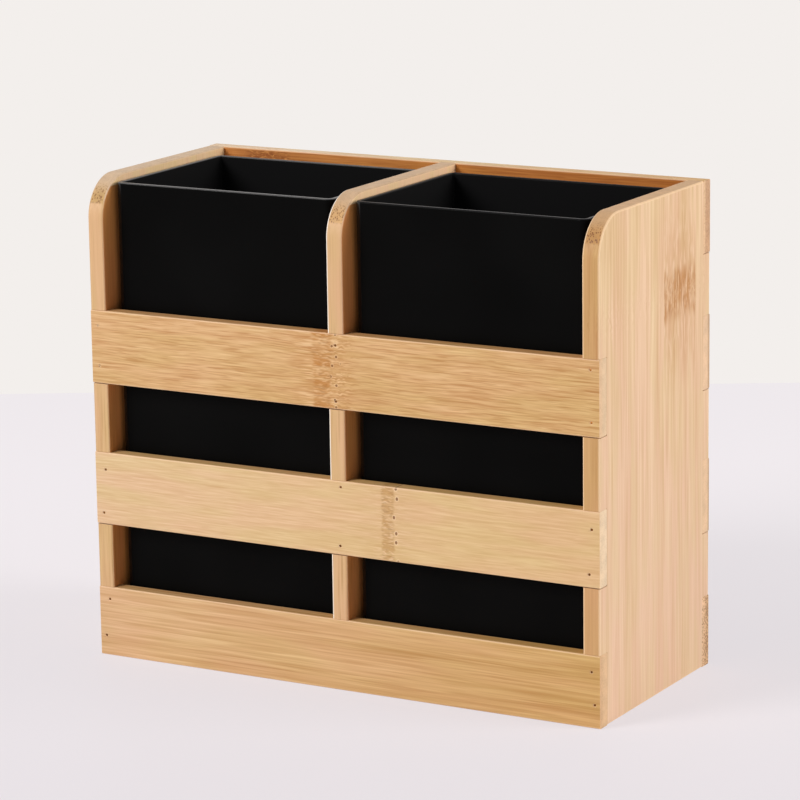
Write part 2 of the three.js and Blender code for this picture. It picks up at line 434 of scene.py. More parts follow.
    def _lay(
        self,
        shade: str,
        level: Node,
        limits: Pair = (0.0, 1.0),
        strength: float = 1.0,
        within: Node | None = None,
    ) -> None:
        """Lays a colour over the one so far where a level passes its limits.

        Args:
            shade: The colour to lay over it.
            level: The value that decides.
            limits: Where the colour starts to show and where it shows in full.
            strength: How much of the colour shows in full, from 0 to 1.
            within: A share from 0 to 1 that it is held to, or None.
        """
        part = self.add("MapRange", (level, *limits, 0.0, strength), **SMOOTH)
        if within:
            part = self.add("Math", (part, within), "MULTIPLY")
        self.tone = self.add("Mix", (part, self.tone, shade), **COLOUR)

    def _apart(self, spot: float) -> Node:
        """Finds how far along the board a place lies from a spot."""
        off = self.add("Math", (self.along, spot), "SUBTRACT")
        return self.add("Math", (off,), "ABSOLUTE")

    def _fibre_place(self) -> Node:
        """Finds the place in the fibres, which wander and bend beside the knuckles.

        Returns:
            The place along, across and through the fibres, in millimetres.
        """
        wood, add = self.wood, self.add
        straight = add("CombineXYZ", (self.along, self.across, self.through))
        slow = self._noise(Layer.BEND, *self.BEND_GRAIN, straight)
        bend = add("Math", (slow, 2 * wood.wander, -wood.wander), "MULTIPLY_ADD")
        for joint in wood.knuckles:
            apart = self._apart(joint.centre + joint.swirl_side)
            reach = add("MapRange", (apart, 0.0, self.SWIRL_REACH, 2 * joint.swirl, 0.0), **SMOOTH)
            quick = self._noise(Layer.SWIRL, *self.SWIRL_GRAIN, straight)
            centred = add("Math", (quick, 0.5), "SUBTRACT")
            bend = add("Math", (centred, reach, bend), "MULTIPLY_ADD")
        start = add("Math", (self.chance, 900.0, self.along), "MULTIPLY_ADD")
        side = add("Math", (self.across, bend), "ADD")
        inner = add("Math", (bend, 0.7, self.through), "MULTIPLY_ADD")
        return add("CombineXYZ", (start, side, inner))

    def _streaks(self) -> None:
        """Colours the clear wood between the knuckles."""
        wood, add = self.wood, self.add
        length, width = wood.streak_length, wood.streak_width
        mixed = self._noise(Layer.STREAK, length, width)
        for part, share in (
            (self._noise(Layer.BROAD, 4 * length, 4 * width), wood.broad),
            (self._noise(Layer.HAIR, 0.4 * length, 0.5 * width), self.HAIR_SHARE),
            (self.chance, 4 * wood.strip_shift),
        ):
            mixed = add("Math", (part, share, mixed), "MULTIPLY_ADD")
        # Each of the four has its middle at 0.5.
        middle = 0.5 * (1 + self.HAIR_SHARE + wood.broad) + 2 * wood.strip_shift
        spread = self.LEVEL_SPREAD / wood.contrast
        level = add("MapRange", (mixed, middle - spread, middle + spread))
        stops = ((0.0, wood.dark), (0.5, wood.tone), (1.0, wood.light))
        self.tone = add("ValToRGB", (level,), stops=stops)
        for layer, shade, strength in (
            (Layer.PALE_DASH, wood.light, 0.45),
            (Layer.DARK_DASH, wood.dark, 0.55),
        ):
            dash = self._noise(layer, 0.4 * length, 0.7 * width)
            self._lay(shade, dash, layer.limits, strength * wood.dashes)

    def _drifts(self) -> None:
        """Paints light that changes from end to end, and lets the colour vary from patch to patch."""
        wood, add = self.wood, self.add
        calmed = add("MapRange", (self.along, *self.span, *wood.calm))
        self.tone = add("Mix", (calmed, self.tone, wood.tone), **COLOUR)
        patch = self._noise(Layer.PATCH, *self.PATCH_GRAIN)
        # The first tint is painted light along the board, the second real patches of colour.
        for level, limits, tints, strength in (
            (self.along, self.span, wood.drift, 1.0),
            (patch, Layer.PATCH.limits, self.PATCH_TINTS, wood.patches),
        ):
            tint = add("Mix", (add("MapRange", (level, *limits)), *tints), **COLOUR)
            self.tone = add("Mix", (strength, self.tone, tint), **TINT)

    def _knuckle(self, joint: Knuckle) -> None:
        """Draws one joint of the cane over the clear wood.

        Args:
            joint: The knuckle to draw.
        """
        wood, add, width = self.wood, self.add, self.wood.streak_width
        half = (joint.stop - joint.start) / 2
        tips = self._noise(Layer.TIPS, self.BUNDLE_LENGTH, 1.5 * width)
        edge = add("Math", (tips, 4 * joint.ragged, half - 2 * joint.ragged), "MULTIPLY_ADD")
        # How far a place lies beyond the ragged edge of the band, below 0 inside it.
        past = add("Math", (self._apart(joint.centre), edge), "SUBTRACT")
        band = add("MapRange", (past, -joint.soft, joint.soft, 1.0, 0.0), **SMOOTH)
        beside = add("MapRange", (past, 0.0, joint.reach, 1.0, 0.0), **SMOOTH)
        for limit, kept in zip(joint.across or (), ("GREATER_THAN", "LESS_THAN")):
            in_strip = add("Math", (self.across, limit), kept)
            band, beside = (add("Math", (part, in_strip), "MULTIPLY") for part in (band, beside))
        self._lay(wood.knuckle_tone, beside, strength=joint.wash)
        fan = (self.FAN_LENGTH, 0.8 * width)
        wash = (self.FAN_LENGTH, 2.3 * width)
        bundle = (self.BUNDLE_LENGTH, 4.4 * width)
        stroke = (joint.stroke_length, self.STROKE_WIDTH)
        for layer, grain, shade, strength, within in (
            (Layer.DARK_FAN, fan, wood.dark, 0.8 * joint.fan, beside),
            (Layer.PALE_FAN, fan, wood.light, 0.9 * joint.fan, beside),
            (Layer.WASH, wash, wood.knuckle_tone, joint.depth, band),
            (Layer.BUNDLE, bundle, wood.knuckle_tone, joint.blocks, band),
            (Layer.DARK_STROKE, stroke, wood.end_dot, 0.5 * joint.strokes, band),
            (Layer.PALE_STROKE, stroke, wood.light, 0.9 * joint.strokes, band),
        ):
            self._lay(shade, self._noise(layer, *grain), layer.limits, strength, within)
        for row in joint.pores:
            # Each root pore is about 1 mm wide and has a pale rim.
            ahead = add("Math", (self.along, self.PORE_ROW / 2 - row), "ADD")
            aside = add("Math", (self.across, 13 * wood.seed + 4 * row), "ADD")
            size = (self.PORE_ROW, joint.pore_gap, 1.0)
            spot = add("VectorMath", (add("CombineXYZ", (ahead, aside)), size), "DIVIDE")
            grid = {"Vector": spot, "Scale": 1.0, "Randomness": 0.6}
            close = add("Math", (1.0, add("TexVoronoi", grid, voronoi_dimensions="2D")), "SUBTRACT")
            in_row = add("Math", (self._apart(row), self.PORE_REACH), "LESS_THAN")
            self._lay(wood.light, close, self.PORE_RIM, 0.5, in_row)
            self._lay(wood.pore, close, self.PORE, 0.85, in_row)

    def _faces(self) -> None:
        """Tints the narrow edges, and paints shade on the faces towards the bins."""
        wood, add = self.wood, self.add
        inner = self.face_on
        if wood.inside_turn:
            inner = add("Math", (self.side_turn, wood.inside_turn), "MULTIPLY")
        covered = add("Math", (self.along, wood.inside_stop), "LESS_THAN")
        inner = add("Math", (inner, covered), "MULTIPLY")
        usual = linear_colour(wood.tone)
        # The inside colour is painted shade on the faces in the recess by the bins.
        for level, shade in ((self.edge_on, wood.edge), (inner, wood.inside)):
            part = add("MapRange", (level, *self.FACE_TURN), **SMOOTH)
            # The usual tone times this ratio is the shade, and the streaks stay.
            ratio = [min(new / max(old, 1e-4), 4.0) for new, old in zip(linear_colour(shade), usual)]
            self.tone = add("Mix", (part, self.tone, ratio), **TINT)

    def _ends(self) -> None:
        """Shows the cut fibre bundles, about 0.4 mm wide, where the fibres end."""
        wood, add, face_tone = self.wood, self.add, self.tone
        slow_along = add("Math", (self.along, 0.5), "MULTIPLY")
        cut = add("CombineXYZ", (self.across, self.through, slow_along))
        bundles = {"Vector": cut, "Scale": self.BUNDLES_PER_MM, "Randomness": 0.9}
        close = add("Math", (1.0, add("TexVoronoi", bundles)), "SUBTRACT")
        cloud = add("TexNoise", {"Vector": cut, "Scale": 0.25, "Detail": 2.0})
        uneven = add("MapRange", (cloud, 0.0, 1.0, *self.END_SHADES))
        steep = add("Math", (self.end_on, self.face_on), "ADD")
        rounded = add("MapRange", (steep, *self.FLAT_TURN, 1.0, 0.0), **SMOOTH)
        self.tone = add("Mix", (rounded, wood.end, wood.slant), **COLOUR)
        depth = add("Math", (self.through,), "ABSOLUTE")
        skin = add("MapRange", (depth, *wood.skin_depth), **SMOOTH)
        # Darker towards the outer face: painted shade along the arrises of the ends, where the skin of the
        # cane also lies.
        self._lay(wood.skin, skin, strength=0.8)
        if wood.low_end:
            self._lay(wood.low_end, add("Math", (self.end_turn, 0.0), "LESS_THAN"))
        crowded = add("Math", (skin, self.SKIN_CROWDING, close), "MULTIPLY_ADD")
        dots = add("MapRange", (steep, *self.DOT_TURN, wood.slant_speckle, wood.speckle), **SMOOTH)
        self._lay(wood.end_dot, crowded, self.BUNDLE_LEVELS, 1.0, dots)
        end_tone = add("VectorMath", (self.tone, uneven), "SCALE")
        part = add("MapRange", (self.end_on, *self.END_TURN), **SMOOTH)
        self.tone = add("Mix", (part, face_tone, end_tone), **COLOUR)

    def _arrises(self) -> None:
        """Paints a highlight along the sanded arrises between a broad face and its neighbours, and painted
        shade where their colour is darker.
        """
        beside = self.add("Math", (self.edge_on, self.end_on), "MAXIMUM")
        arris = self.add("Math", (beside, self.face_on), "MINIMUM")
        share = self.add("MapRange", (self.side_turn, -0.1, 0.1, *self.wood.arris_shares))
        # Painted highlight on the arrises, painted shade where their colour is darker than the face.
        self._lay(self.wood.arris, arris, self.ARRIS_TURN, 1.0, share)


# -------- plastic and steel


@dataclass(frozen=True)
class MouldedPlastic:
    """Black polypropylene, moulded in a finely blasted tool whose parting face is polished.

    The eye sees an even near-black that turns grey only along the rim, where a painted highlight lies on
    the smoother plastic. The inside is painted a shade lighter as painted light, and the wood beside it
    shows faintly in the two opposite corners that a hand takes hold of.

    Lengths are in millimetres.
    """

    node: str  # the CAD node of the bin that it is for
    tone: str = "#060606"  # the darkest colour of the plastic
    flow_tone: str = "#0A0A0A"  # the colour where it flowed last
    inside_tone: str = "#161617"  # the colour of the inside, painted lighter than the wall as painted light
    rim_tone: str = "#38383A"  # the grey of the rim, a painted highlight
    rim_gloss: float = 0.6  # how strongly the rim reflects
    rim_depth: float = 0.5  # how far down the rim takes the painted highlight and the higher gloss
    blast_size: float = 0.35  # the size of the blasted grain, coarser than the real one so that it shows
    flow_size: float = 40.0  # the size of the patches where it flowed last
    ior: float = 1.49  # the refractive index of polypropylene

    def material(self) -> Material:
        """Builds the node material.

        Returns:
            The finished material.
        """
        low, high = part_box(self.node)
        material, add, coords, in_mm = new_material("black_polypropylene_" + self.node)
        normal = coords.outputs["Normal"]
        grit = add("TexNoise", {"Vector": in_mm, "Scale": 1 / self.blast_size, "Detail": 2.0})
        flow = add("TexNoise", {"Vector": in_mm, "Scale": 1 / self.flow_size, "Detail": 1.0})
        tone = add("ValToRGB", (flow,), stops=((0.3, self.tone), (0.7, self.flow_tone)))
        # A face that turns towards the middle of the bin is an inner one.
        from_middle = add("VectorMath", (coords.outputs["Object"], (low + high) / 2), "SUBTRACT")
        outward = add("VectorMath", (from_middle, normal), "DOT_PRODUCT")
        inside = add("Math", (outward, 0.0), "LESS_THAN")
        # The inside is painted lighter: painted light.
        tone = add("Mix", (inside, tone, self.inside_tone), **COLOUR)
        rough = add("MapRange", (grit, 0.0, 1.0, 0.3, 0.42))
        bump = add("Bump", {"Strength": 0.12, "Distance": 0.02 * MM, "Height": grit})
        blasted = {"Base Color": tone, "Roughness": rough, "Normal": bump, "Specular IOR Level": 0.025}
        # The rim's grey colour is a painted highlight, and its gloss is the plastic's own.
        smooth = {"Base Color": self.rim_tone, "Roughness": 0.28, "Specular IOR Level": self.rim_gloss}
        polished = {"Base Color": self.tone, "Roughness": 0.22, "Specular IOR Level": 0.4}
        wall, rim, corner = (
            add("BsdfPrincipled", {"IOR": self.ior, **skin}) for skin in (blasted, smooth, polished)
        )
        height = add("SeparateXYZ", (in_mm,)).outputs["Z"]
        at_rim = add("Math", (height, high.z / MM - self.rim_depth), "GREATER_THAN")
        turn = add("SeparateXYZ", (normal,)).outputs
        upward = add("MapRange", (turn["Z"], 0.3, 0.8), **SMOOTH)
        part = add("Math", (at_rim, upward), "MULTIPLY")
        # The product is above 0 only in two corners, which lie opposite each other.
        slanted = add("Math", (turn["X"], turn["Y"]), "MULTIPLY")
        on_corner = add("MapRange", (slanted, 0.0, 0.25), **SMOOTH)
        mixed = add("MixShader", (on_corner, wall, corner))
        mixed = add("MixShader", (part, mixed, rim))
        add("OutputMaterial", (mixed,))
        return material


@dataclass(frozen=True)
class DrawnSteel:
    """Drawn steel wire, dulled by a thin brown oxide.

    The eye sees small dark heads with a faint brushed glint.

    Lengths are in millimetres.
    """

    name: str = "oxidised_steel_wire"  # the material's name
    tone: str = "#90580F"  # the colour of the wire
    rust: str = "#5E3602"  # the colour of the stains on it
    metal: float = 0.05  # how far it shines as bare metal
    stain_size: float = 0.4  # the size of the stains

    def material(self) -> Material:
        """Builds the node material.

        Returns:
            The finished material.
        """
        material, add, _, in_mm = new_material(self.name)
        stain = add("TexNoise", {"Vector": in_mm, "Scale": 1 / self.stain_size, "Detail": 2.0})
        tone = add("ValToRGB", (stain,), stops=((0.4, self.rust), (0.65, self.tone)))
        rough = add("MapRange", (stain, 0.0, 1.0, 0.75, 0.5))
        wire = {"Base Color": tone, "Roughness": rough, "Metallic": self.metal, "Specular IOR Level": 0.2}
        add("OutputMaterial", (add("BsdfPrincipled", wire),))
        return material


# -------- mesh tools


def add_block(mesh: BMesh, low: Vector, high: Vector) -> BMesh:
    """Adds a plain block between two corners to a mesh.

    Args:
        mesh: The mesh to add to.
        low: The block's lowest corner.
        high: Its highest corner.

    Returns:
        The same mesh.
    """
    size = Matrix.Diagonal((*(high - low), 1.0))
    bmesh.ops.create_cube(mesh, size=1.0, matrix=Matrix.Translation((low + high) / 2) @ size)
    return mesh


def round_off(
    mesh: BMesh, parts: Iterable[BMEdge | BMVert], width: float, segments: int, affect: str = "EDGES"
) -> None:
    """Rounds some edges or corners of a mesh.

    Args:
        mesh: The mesh to work on.
        parts: The edges or corners to round.
        width: The distance from each of them to where its rounding starts.
        segments: How many facets the rounding has.
        affect: "EDGES", or "VERTICES" for the corners of a flat outline.
    """
    shape = {"segments": segments, "profile": 0.5, "affect": affect, "material": -1}
    bmesh.ops.bevel(mesh, geom=list(parts), offset=width, offset_type="OFFSET", clamp_overlap=True, **shape)


def pull(mesh: BMesh, faces: Sequence[BMFace], by: Vector, keep: bool = True) -> None:
    """Pulls faces out of a mesh, with walls behind them.

    Args:
        mesh: The mesh to work on.
        faces: The faces to pull.
        by: How far and which way they go.
        keep: Whether they also stay where they were.
    """
    made = bmesh.ops.extrude_face_region(mesh, geom=faces, use_keep_orig=keep)
    pulled = [g for g in made["geom"] if isinstance(g, BMVert)]
    bmesh.ops.translate(mesh, verts=pulled, vec=by)


def add_turned(
    mesh: BMesh, profile: Sequence[Pair], head: Vector, inward: float, steps: int = 16
) -> None:
    """Turns a profile round an axis along Y and adds the closed result to a mesh.

    Args:
        mesh: The mesh to add to.
        profile: Radius and depth of each corner, from the head's middle to the point's tip.
        head: The point on the axis where the depth is 0.
        inward: 1 if the depth grows towards +Y, -1 if towards -Y.
        steps: How many facets go round.
    """
    corners = [mesh.verts.new(head + Vector((r, inward * d, 0))) for r, d in profile]
    lines = [mesh.edges.new(pair) for pair in zip(corners, corners[1:])]
    turn = {"axis": Vector((0, 1, 0)), "angle": math.tau, "steps": steps, "use_merge": True}
    bmesh.ops.spin(mesh, geom=corners + lines, cent=head, use_duplicate=False, **turn)
    bmesh.ops.remove_doubles(mesh, verts=mesh.verts[:], dist=MERGED)


def into_object(name: str, mesh: BMesh) -> Object:
    """Turns a finished mesh into an object at the origin.

    Args:
        name: The object's name.
        mesh: The mesh, which is freed.

    Returns:
        The object.
    """
    bmesh.ops.recalc_face_normals(mesh, faces=mesh.faces[:])
    data = bpy.data.meshes.new(name)
    mesh.to_mesh(data)
    mesh.free()
    piece = bpy.data.objects.new(name, data)
    bpy.context.scene.collection.objects.link(piece)
    return piece


def cut_away(piece: Object, cutter: Object) -> None:
    """Cuts one closed shape out of another and removes the cutter.

    Args:
        piece: The object to cut.
        cutter: The object that is taken away from it.
    """
    cut = piece.modifiers.new("cut", "BOOLEAN")
    cut.operation, cut.solver, cut.object = "DIFFERENCE", "EXACT", cutter
    graph = bpy.context.evaluated_depsgraph_get()
    data = bpy.data.meshes.new_from_object(piece.evaluated_get(graph), depsgraph=graph)
    piece.modifiers.clear()
    old, piece.data = piece.data, data
    spare = cutter.data
    bpy.data.objects.remove(cutter)
    for mesh in (old, spare):
        bpy.data.meshes.remove(mesh)
    data.name = piece.name


def hand_over(piece: Object, node: str, material: Material, sharp: float = 32.0) -> None:
    """Shades and dresses a finished piece and lets it stand for its CAD node.

    Args:
        piece: The finished object.
        node: The CAD node that it stands for.
        material: Its material.
        sharp: Edges that turn more than this many degrees stay sharp.
    """
    mesh = bmesh.new()
    mesh.from_mesh(piece.data)
    for face in mesh.faces:
        face.smooth = True
    for edge in mesh.edges:
        edge.smooth = edge.calc_face_angle(math.pi) < math.radians(sharp)
    mesh.to_mesh(piece.data)
    mesh.free()
    piece.modifiers.new("flat_faces_first", "WEIGHTED_NORMAL").keep_sharp = True
    piece.data.materials.clear()
    piece.data.materials.append(material)
    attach(piece, BODY_OF[node])
    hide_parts(node)
    LOG.info("%s: %d faces, rides on %s", piece.name, len(piece.data.polygons), BODY_OF[node])


# -------- brads


@dataclass
class Brad:
    """A headed wire brad, punched just below the face of its slat."""

    node: str
    sunk: float = 0.12 * MM
    head_radius: float = 0.48 * MM
    head_thickness: float = 0.35 * MM
    shank_radius: float = 0.4 * MM
    point_length: float = 1.6 * MM
    dent_radius: float = 0.68 * MM
    slack: float = 0.02 * MM
    past_face: float = 0.3 * MM
    head: Vector = field(init=False)
    inward: float = field(init=False)
    length: float = field(init=False)

    def __post_init__(self) -> None:
        """Reads the brad's place from its CAD node."""
        low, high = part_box(self.node)
        front = low.y < 0
        self.head = Vector(((low.x + high.x) / 2, low.y if front else high.y, (low.z + high.z) / 2))
        self.inward = 1.0 if front else -1.0
        self.length = high.y - low.y

    def drill(self, mesh: BMesh) -> None:
        """Adds the shape of the brad's dent and hole to a cutter.

        Args:
            mesh: The cutter's mesh.
        """
        wide, thin = self.head_radius + self.slack, self.shank_radius + self.slack
        shoulder = self.sunk + self.head_thickness + self.slack
        profile = [
            (0.0, -self.past_face),
            (self.dent_radius + self.past_face, -self.past_face),
            (self.dent_radius, 0.0),
            (wide, self.sunk + 0.05 * MM),
            (wide, shoulder),
            (thin, shoulder),
            (thin, self.length - self.point_length),
            (0.0, self.length + 2 * self.slack),
        ]
        add_turned(mesh, profile, self.head, self.inward)

    def build(self, material: Material) -> None:
        """Builds the brad.

        Args:
            material: Its material.
        """
        shoulder = self.sunk + self.head_thickness
        profile = [
            (0.0, self.sunk),
            (0.7 * self.head_radius, self.sunk + 0.03 * MM),
            (0.95 * self.head_radius, self.sunk + 0.1 * MM),
            (self.head_radius, self.sunk + 0.17 * MM),
            (self.head_radius, shoulder),
            (self.shank_radius, shoulder + 0.05 * MM),
            (self.shank_radius, self.length - self.point_length),
            (0.0, self.length),
        ]
        mesh = bmesh.new()
        add_turned(mesh, profile, self.head, self.inward)
        hand_over(into_object("wire_" + self.node, mesh), self.node, material)


# -------- boards


@dataclass
class Board:
    """A board of the frame, in the place that its CAD node has."""

    node: str
    finish: Bamboo
    brads: Sequence[Brad] = ()  # all the brads of the frame
    low: Vector = field(init=False)
    high: Vector = field(init=False)

    def __post_init__(self) -> None:
        """Reads the board's place from its CAD node."""
        self.low, self.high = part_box(self.node)

    def on_face(self, value: float, axis: int) -> bool:
        """Tells if a place along an axis is on one of the board's two sides."""
        return min(abs(value - self.low[axis]), abs(value - self.high[axis])) < SAME_PLACE

    def finish_off(
        self, mesh: BMesh, brads: Iterable[Brad] = (), groove: tuple[Vector, Vector] | None = None
    ) -> None:
        """Drills the board for its brads, cuts its groove and dresses it.

        Args:
            mesh: The board's mesh.
            brads: The brads that enter it.
            groove: The lowest and highest corner of a groove in it, or None.
        """
        piece = into_object("bamboo_" + self.node, mesh)
        cutter = bmesh.new()
        for brad in brads:
            brad.drill(cutter)
        if groove:
            add_block(cutter, *groove)
        if cutter.faces:
            cut_away(piece, into_object("cutter", cutter))
        else:
            cutter.free()
        hand_over(piece, self.node, self.finish.material())


@dataclass
class Slat(Board):
    """A slat with eased long edges, its ends flush with the side panels."""

    ease: float = 0.55 * MM
    end_ease: float = 0.1 * MM

    def build(self) -> None:
        """Builds the slat."""
        low, high = self.low, self.high
        mesh = add_block(bmesh.new(), low, high)
        along = [e for e in mesh.edges if abs(e.verts[0].co.x - e.verts[1].co.x) > SAME_PLACE]
        round_off(mesh, along, self.ease, segments=3)
        ends = [e for e in mesh.edges if all(self.on_face(v.co.x, 0) for v in e.verts)]
        round_off(mesh, ends, self.end_ease, segments=2)
        beside = [b for b in self.brads if low.y - SAME_PLACE <= b.head.y <= high.y + SAME_PLACE]
        self.finish_off(mesh, [b for b in beside if low.z < b.head.z < high.z])


@dataclass
class BaseBoard(Board):
    """The board under the bins, its ends in the grooves of the side panels."""

    ease: float = 0.3 * MM

    def build(self) -> None:
        """Builds the board."""
        mesh = add_block(bmesh.new(), self.low, self.high)
        round_off(mesh, mesh.edges[:], self.ease, segments=2)
        self.finish_off(mesh)


@dataclass
class Upright(Board):
    """A side panel or the divider: rounded at the front top corner and notched for the slats."""

    corner_radius: float = 16.5 * MM
    ease: float = 0.8 * MM
    slack: float = 0.04 * MM
    slack_below: float = 0.2 * MM
    groove_reach: float = 0.3 * MM
    open_side: float = 1 * MM  # how far a cut passes the board where it is open

    def build(self, slats: Sequence[Slat], base: BaseBoard) -> None:
        """Builds the upright.

        Args:
            slats: The slats that are let into it.
            base: The base board, for which it may have a groove.
        """
        mesh = self._outline()
        self._cut_notches(mesh, [self._notch(slat) for slat in slats])
        pull(mesh, mesh.faces[:], Vector((self.high.x - self.low.x, 0, 0)))
        round_off(mesh, [e for e in mesh.edges if self._is_arris(e)], self.ease, segments=3)
        mine = [b for b in self.brads if self.low.x < b.head.x < self.high.x]
        self.finish_off(mesh, mine, self._groove(base))

    def _notch(self, slat: Slat) -> tuple[Vector, Vector]:
        """Finds the notch that a slat lies in.

        Args:
            slat: The slat.

        Returns:
            The notch's lowest and highest corner, which pass the board where the notch is open.
        """
        low, high = slat.low.copy(), slat.high.copy()
        if low.y < 0:
            low.y -= self.open_side
        else:
            high.y += self.open_side
        low.z -= self.slack_below
        high.z += self.slack
        return low, high

    def _outline(self) -> BMesh:
        """Makes the board's side outline as one face, with its front top corner rounded.

        Returns:
            The flat mesh, at the board's lower x.
        """
        size, middle = self.high - self.low, (self.low + self.high) / 2
        rows = ((0, 0, 1, self.low.x), (size.y, 0, 0, middle.y), (0, size.z, 0, middle.z), (0, 0, 0, 1))
        mesh = bmesh.new()
        bmesh.ops.create_grid(mesh, x_segments=1, y_segments=1, size=0.5, matrix=Matrix(rows))
        corner = max(mesh.verts, key=lambda v: v.co.z - v.co.y)
        round_off(mesh, [corner], self.corner_radius, segments=24, affect="VERTICES")
        return mesh

    def _cut_notches(self, mesh: BMesh, notches: Sequence[tuple[Vector, Vector]]) -> None:
        """Cuts the notches out of the flat outline.

        Args:
            mesh: The flat outline.
            notches: The lowest and highest corner of each notch.
        """
        planes = set()
        for low, high in notches:
            seat = high.y if low.y < 0 else low.y
            planes |= {("y", round(seat, 6)), ("z", round(low.z, 6)), ("z", round(high.z, 6))}
        for axis, value in sorted(planes):
            normal = Vector((0, 1, 0)) if axis == "y" else Vector((0, 0, 1))
            parts = mesh.verts[:] + mesh.edges[:] + mesh.faces[:]
            bmesh.ops.bisect_plane(mesh, geom=parts, dist=MERGED, plane_co=normal * value, plane_no=normal)

        places = [(face, face.calc_center_bounds()) for face in mesh.faces]
        waste = [
            face
            for face, spot in places
            if any(low.y < spot.y < high.y and low.z < spot.z < high.z for low, high in notches)
        ]
        bmesh.ops.delete(mesh, geom=waste, context="FACES")
        flat = math.radians(1)
        bmesh.ops.dissolve_limit(mesh, angle_limit=flat, verts=mesh.verts[:], edges=mesh.edges[:])

    def _is_arris(self, edge: BMEdge) -> bool:
        """Tells if an edge runs round the board's outline outside the notches.

        Args:
            edge: The edge to look at.

        Returns:
            Whether it does.
        """
        one, other = (v.co for v in edge.verts)
        middle = (one + other) / 2
        in_corner = (
            middle.y < self.low.y + self.corner_radius and middle.z > self.high.z - self.corner_radius
        )
        outside = self.on_face(middle.y, 1) or self.on_face(middle.z, 2) or in_corner
        return abs(one.x - other.x) <= SAME_PLACE and outside

    def _groove(self, base: BaseBoard) -> tuple[Vector, Vector] | None:
        """Finds the groove that the base board lies in.

        Args:
            base: The base board.

        Returns:
            The groove's lowest and highest corner, or None where the upright stands on the board.
        """
        low, high = base.low, base.high
        if high.x < self.low.x or low.x > self.high.x or self.low.z >= high.z - 0.01 * MM:
            return None
        near = Vector((low.x - self.groove_reach, self.low.y - self.open_side, low.z))
        far = Vector((high.x + self.groove_reach, self.high.y + self.open_side, high.z + self.slack))
        return near, far


# -------- bins


@dataclass
class Bin:
    """An open-topped moulded bin with rounded upright corners and a softened rim."""

    plastic: MouldedPlastic
    wall: float = 2 * MM
    floor: float = 2.5 * MM
    corner_radius: float = 3 * MM
    rim_rounding: float = 0.6 * MM
    foot_rounding: float = 1.2 * MM
    inner_fillet: float = 0.8 * MM

    def build(self) -> None:
        """Builds the bin."""
        node = self.plastic.node
        low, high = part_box(node)
        size, middle = high - low, (low + high) / 2
        mesh = bmesh.new()
        lay = Matrix.Translation((middle.x, middle.y, low.z)) @ Matrix.Diagonal((size.x, size.y, 1, 1))
        bmesh.ops.create_grid(mesh, x_segments=1, y_segments=1, size=0.5, matrix=lay)
        round_off(mesh, mesh.verts[:], self.corner_radius, segments=10, affect="VERTICES")
        pull(mesh, mesh.faces[:], Vector((0, 0, size.z)))
        bmesh.ops.recalc_face_normals(mesh, faces=mesh.faces[:])
        top = max(mesh.faces, key=lambda f: f.calc_center_bounds().z)
        bmesh.ops.inset_region(mesh, faces=[top], thickness=self.wall, use_even_offset=True)
        pull(mesh, [top], Vector((0, 0, self.floor - size.z)), keep=False)
        if top.is_valid:
            bmesh.ops.delete(mesh, geom=[top], context="FACES_ONLY")
        bmesh.ops.recalc_face_normals(mesh, faces=mesh.faces[:])
        for level, width, segments in (
            (high.z, self.rim_rounding, 3),
            (low.z, self.foot_rounding, 3),
            (low.z + self.floor, self.inner_fillet, 4),
        ):
            edges = [
                e
                for e in mesh.edges
                if all(abs(v.co.z - level) < SAME_PLACE for v in e.verts)
                and any(abs(f.normal.z) < 0.5 for f in e.link_faces)
            ]
            round_off(mesh, edges, width, segments)
        piece = into_object("moulded_" + node, mesh)
        hand_over(piece, node, self.plastic.material(), sharp=40.0)


# -------- stage


@dataclass
class ViewCamera:
    """The camera, given by where it looks and from which side."""

    target: Point = (0.0274, -0.0475, 0.1163)  # the point in the middle of the picture
    azimuth: float = 29.47  # degrees round from the front towards +X
    elevation: float = 12.56  # degrees above the desk
    roll: float = -0.824  # degrees that the camera leans
    distance: float = 1.378  # how far it stands from the target
    lens: float = 166.76  # its focal length in millimetres
    sensor: float = 36.0  # the width of its sensor in millimetres
    clip: Pair = (0.05, 50.0)  # the nearest and the farthest that it sees

    def build(self) -> None:
        """Makes the camera and gives it to the scene."""
        data = bpy.data.cameras.new("view_camera")
        data.sensor_width, data.lens = self.sensor, self.lens
        data.clip_start, data.clip_end = self.clip
        camera = bpy.data.objects.new("view_camera", data)
        bpy.context.scene.collection.objects.link(camera)
        turn, rise = math.radians(self.azimuth), math.radians(self.elevation)
        level = math.cos(rise)
        away = Vector((math.sin(turn) * level, -math.cos(turn) * level, math.sin(rise)))
        look = (-away).to_track_quat("-Z", "Y").to_matrix().to_4x4()
        lean = Matrix.Rotation(math.radians(self.roll), 4, "Z")
        spot = Matrix.Translation(Vector(self.target) + away * self.distance)
        camera.matrix_world = spot @ look @ lean
        bpy.context.scene.camera = camera


